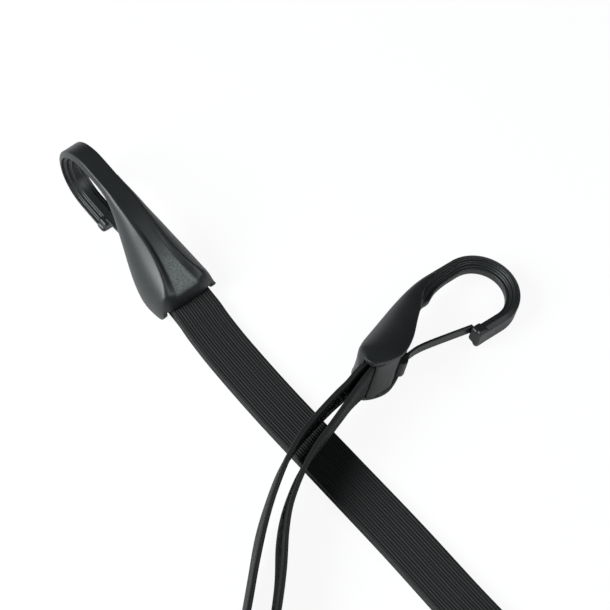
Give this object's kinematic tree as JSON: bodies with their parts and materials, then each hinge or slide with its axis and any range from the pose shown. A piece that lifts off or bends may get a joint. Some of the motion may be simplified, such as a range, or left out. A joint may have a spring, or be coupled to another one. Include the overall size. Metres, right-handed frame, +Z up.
{
  "type": "flat bungee cord",
  "caption": "Flat elastic strap with a moulded gated hook on each end, for tying down loads: the loop catches a bar or rail and a sprung leaf closes it.",
  "frame": {"origin": "on the table under the middle of the box round the two hooks, the free webbing left out", "axes": "+X from hook A's tip towards its mouth and along the flat run of the webbing, +Y towards the tip of hook B, +Z up from the table"},
  "size_m": [0.3586, 0.2346, 0.0377],
  "materials": {
    "hook_nylon": "fine spark-eroded texture",
    "gate_acetal": "smooth satin",
    "clip_steel": "bright pressed",
    "elastic_webbing": "ribbed woven cover over rubber threads"
  },
  "bodies": {
    "strap": {"hook_body_a": "hook_nylon", "end_plug_a": "hook_nylon", "webbing_clip_a": "clip_steel", "clip_rivet_a1": "clip_steel", "clip_rivet_a2": "clip_steel", "hook_body_b": "hook_nylon", "end_plug_b": "hook_nylon", "webbing_clip_b": "clip_steel", "clip_rivet_b1": "clip_steel", "clip_rivet_b2": "clip_steel", "webbing_outer": "elastic_webbing", "webbing_inner": "elastic_webbing"},
    "gate_a": {"gate_a": "gate_acetal"},
    "gate_b": {"gate_b": "gate_acetal"}
  },
  "joints": [
    {"name": "gate_a_hinge", "type": "hinge", "parent": "strap", "child": "gate_a", "pos_m": [-0.02152, -0.05064, 0.00299], "axis": [-0.0506, 0.9987, 0], "range_deg": [0, 24], "stiffness_Nm_per_rad": 0.02, "springref_deg": -14.32},
    {"name": "gate_b_hinge", "type": "hinge", "parent": "strap", "child": "gate_b", "pos_m": [0.07995, -0.00328, 0.01354], "axis": [0.0913, 0.1304, 0.9872], "range_deg": [0, 24], "stiffness_Nm_per_rad": 0.02, "springref_deg": -14.32}
  ]
}
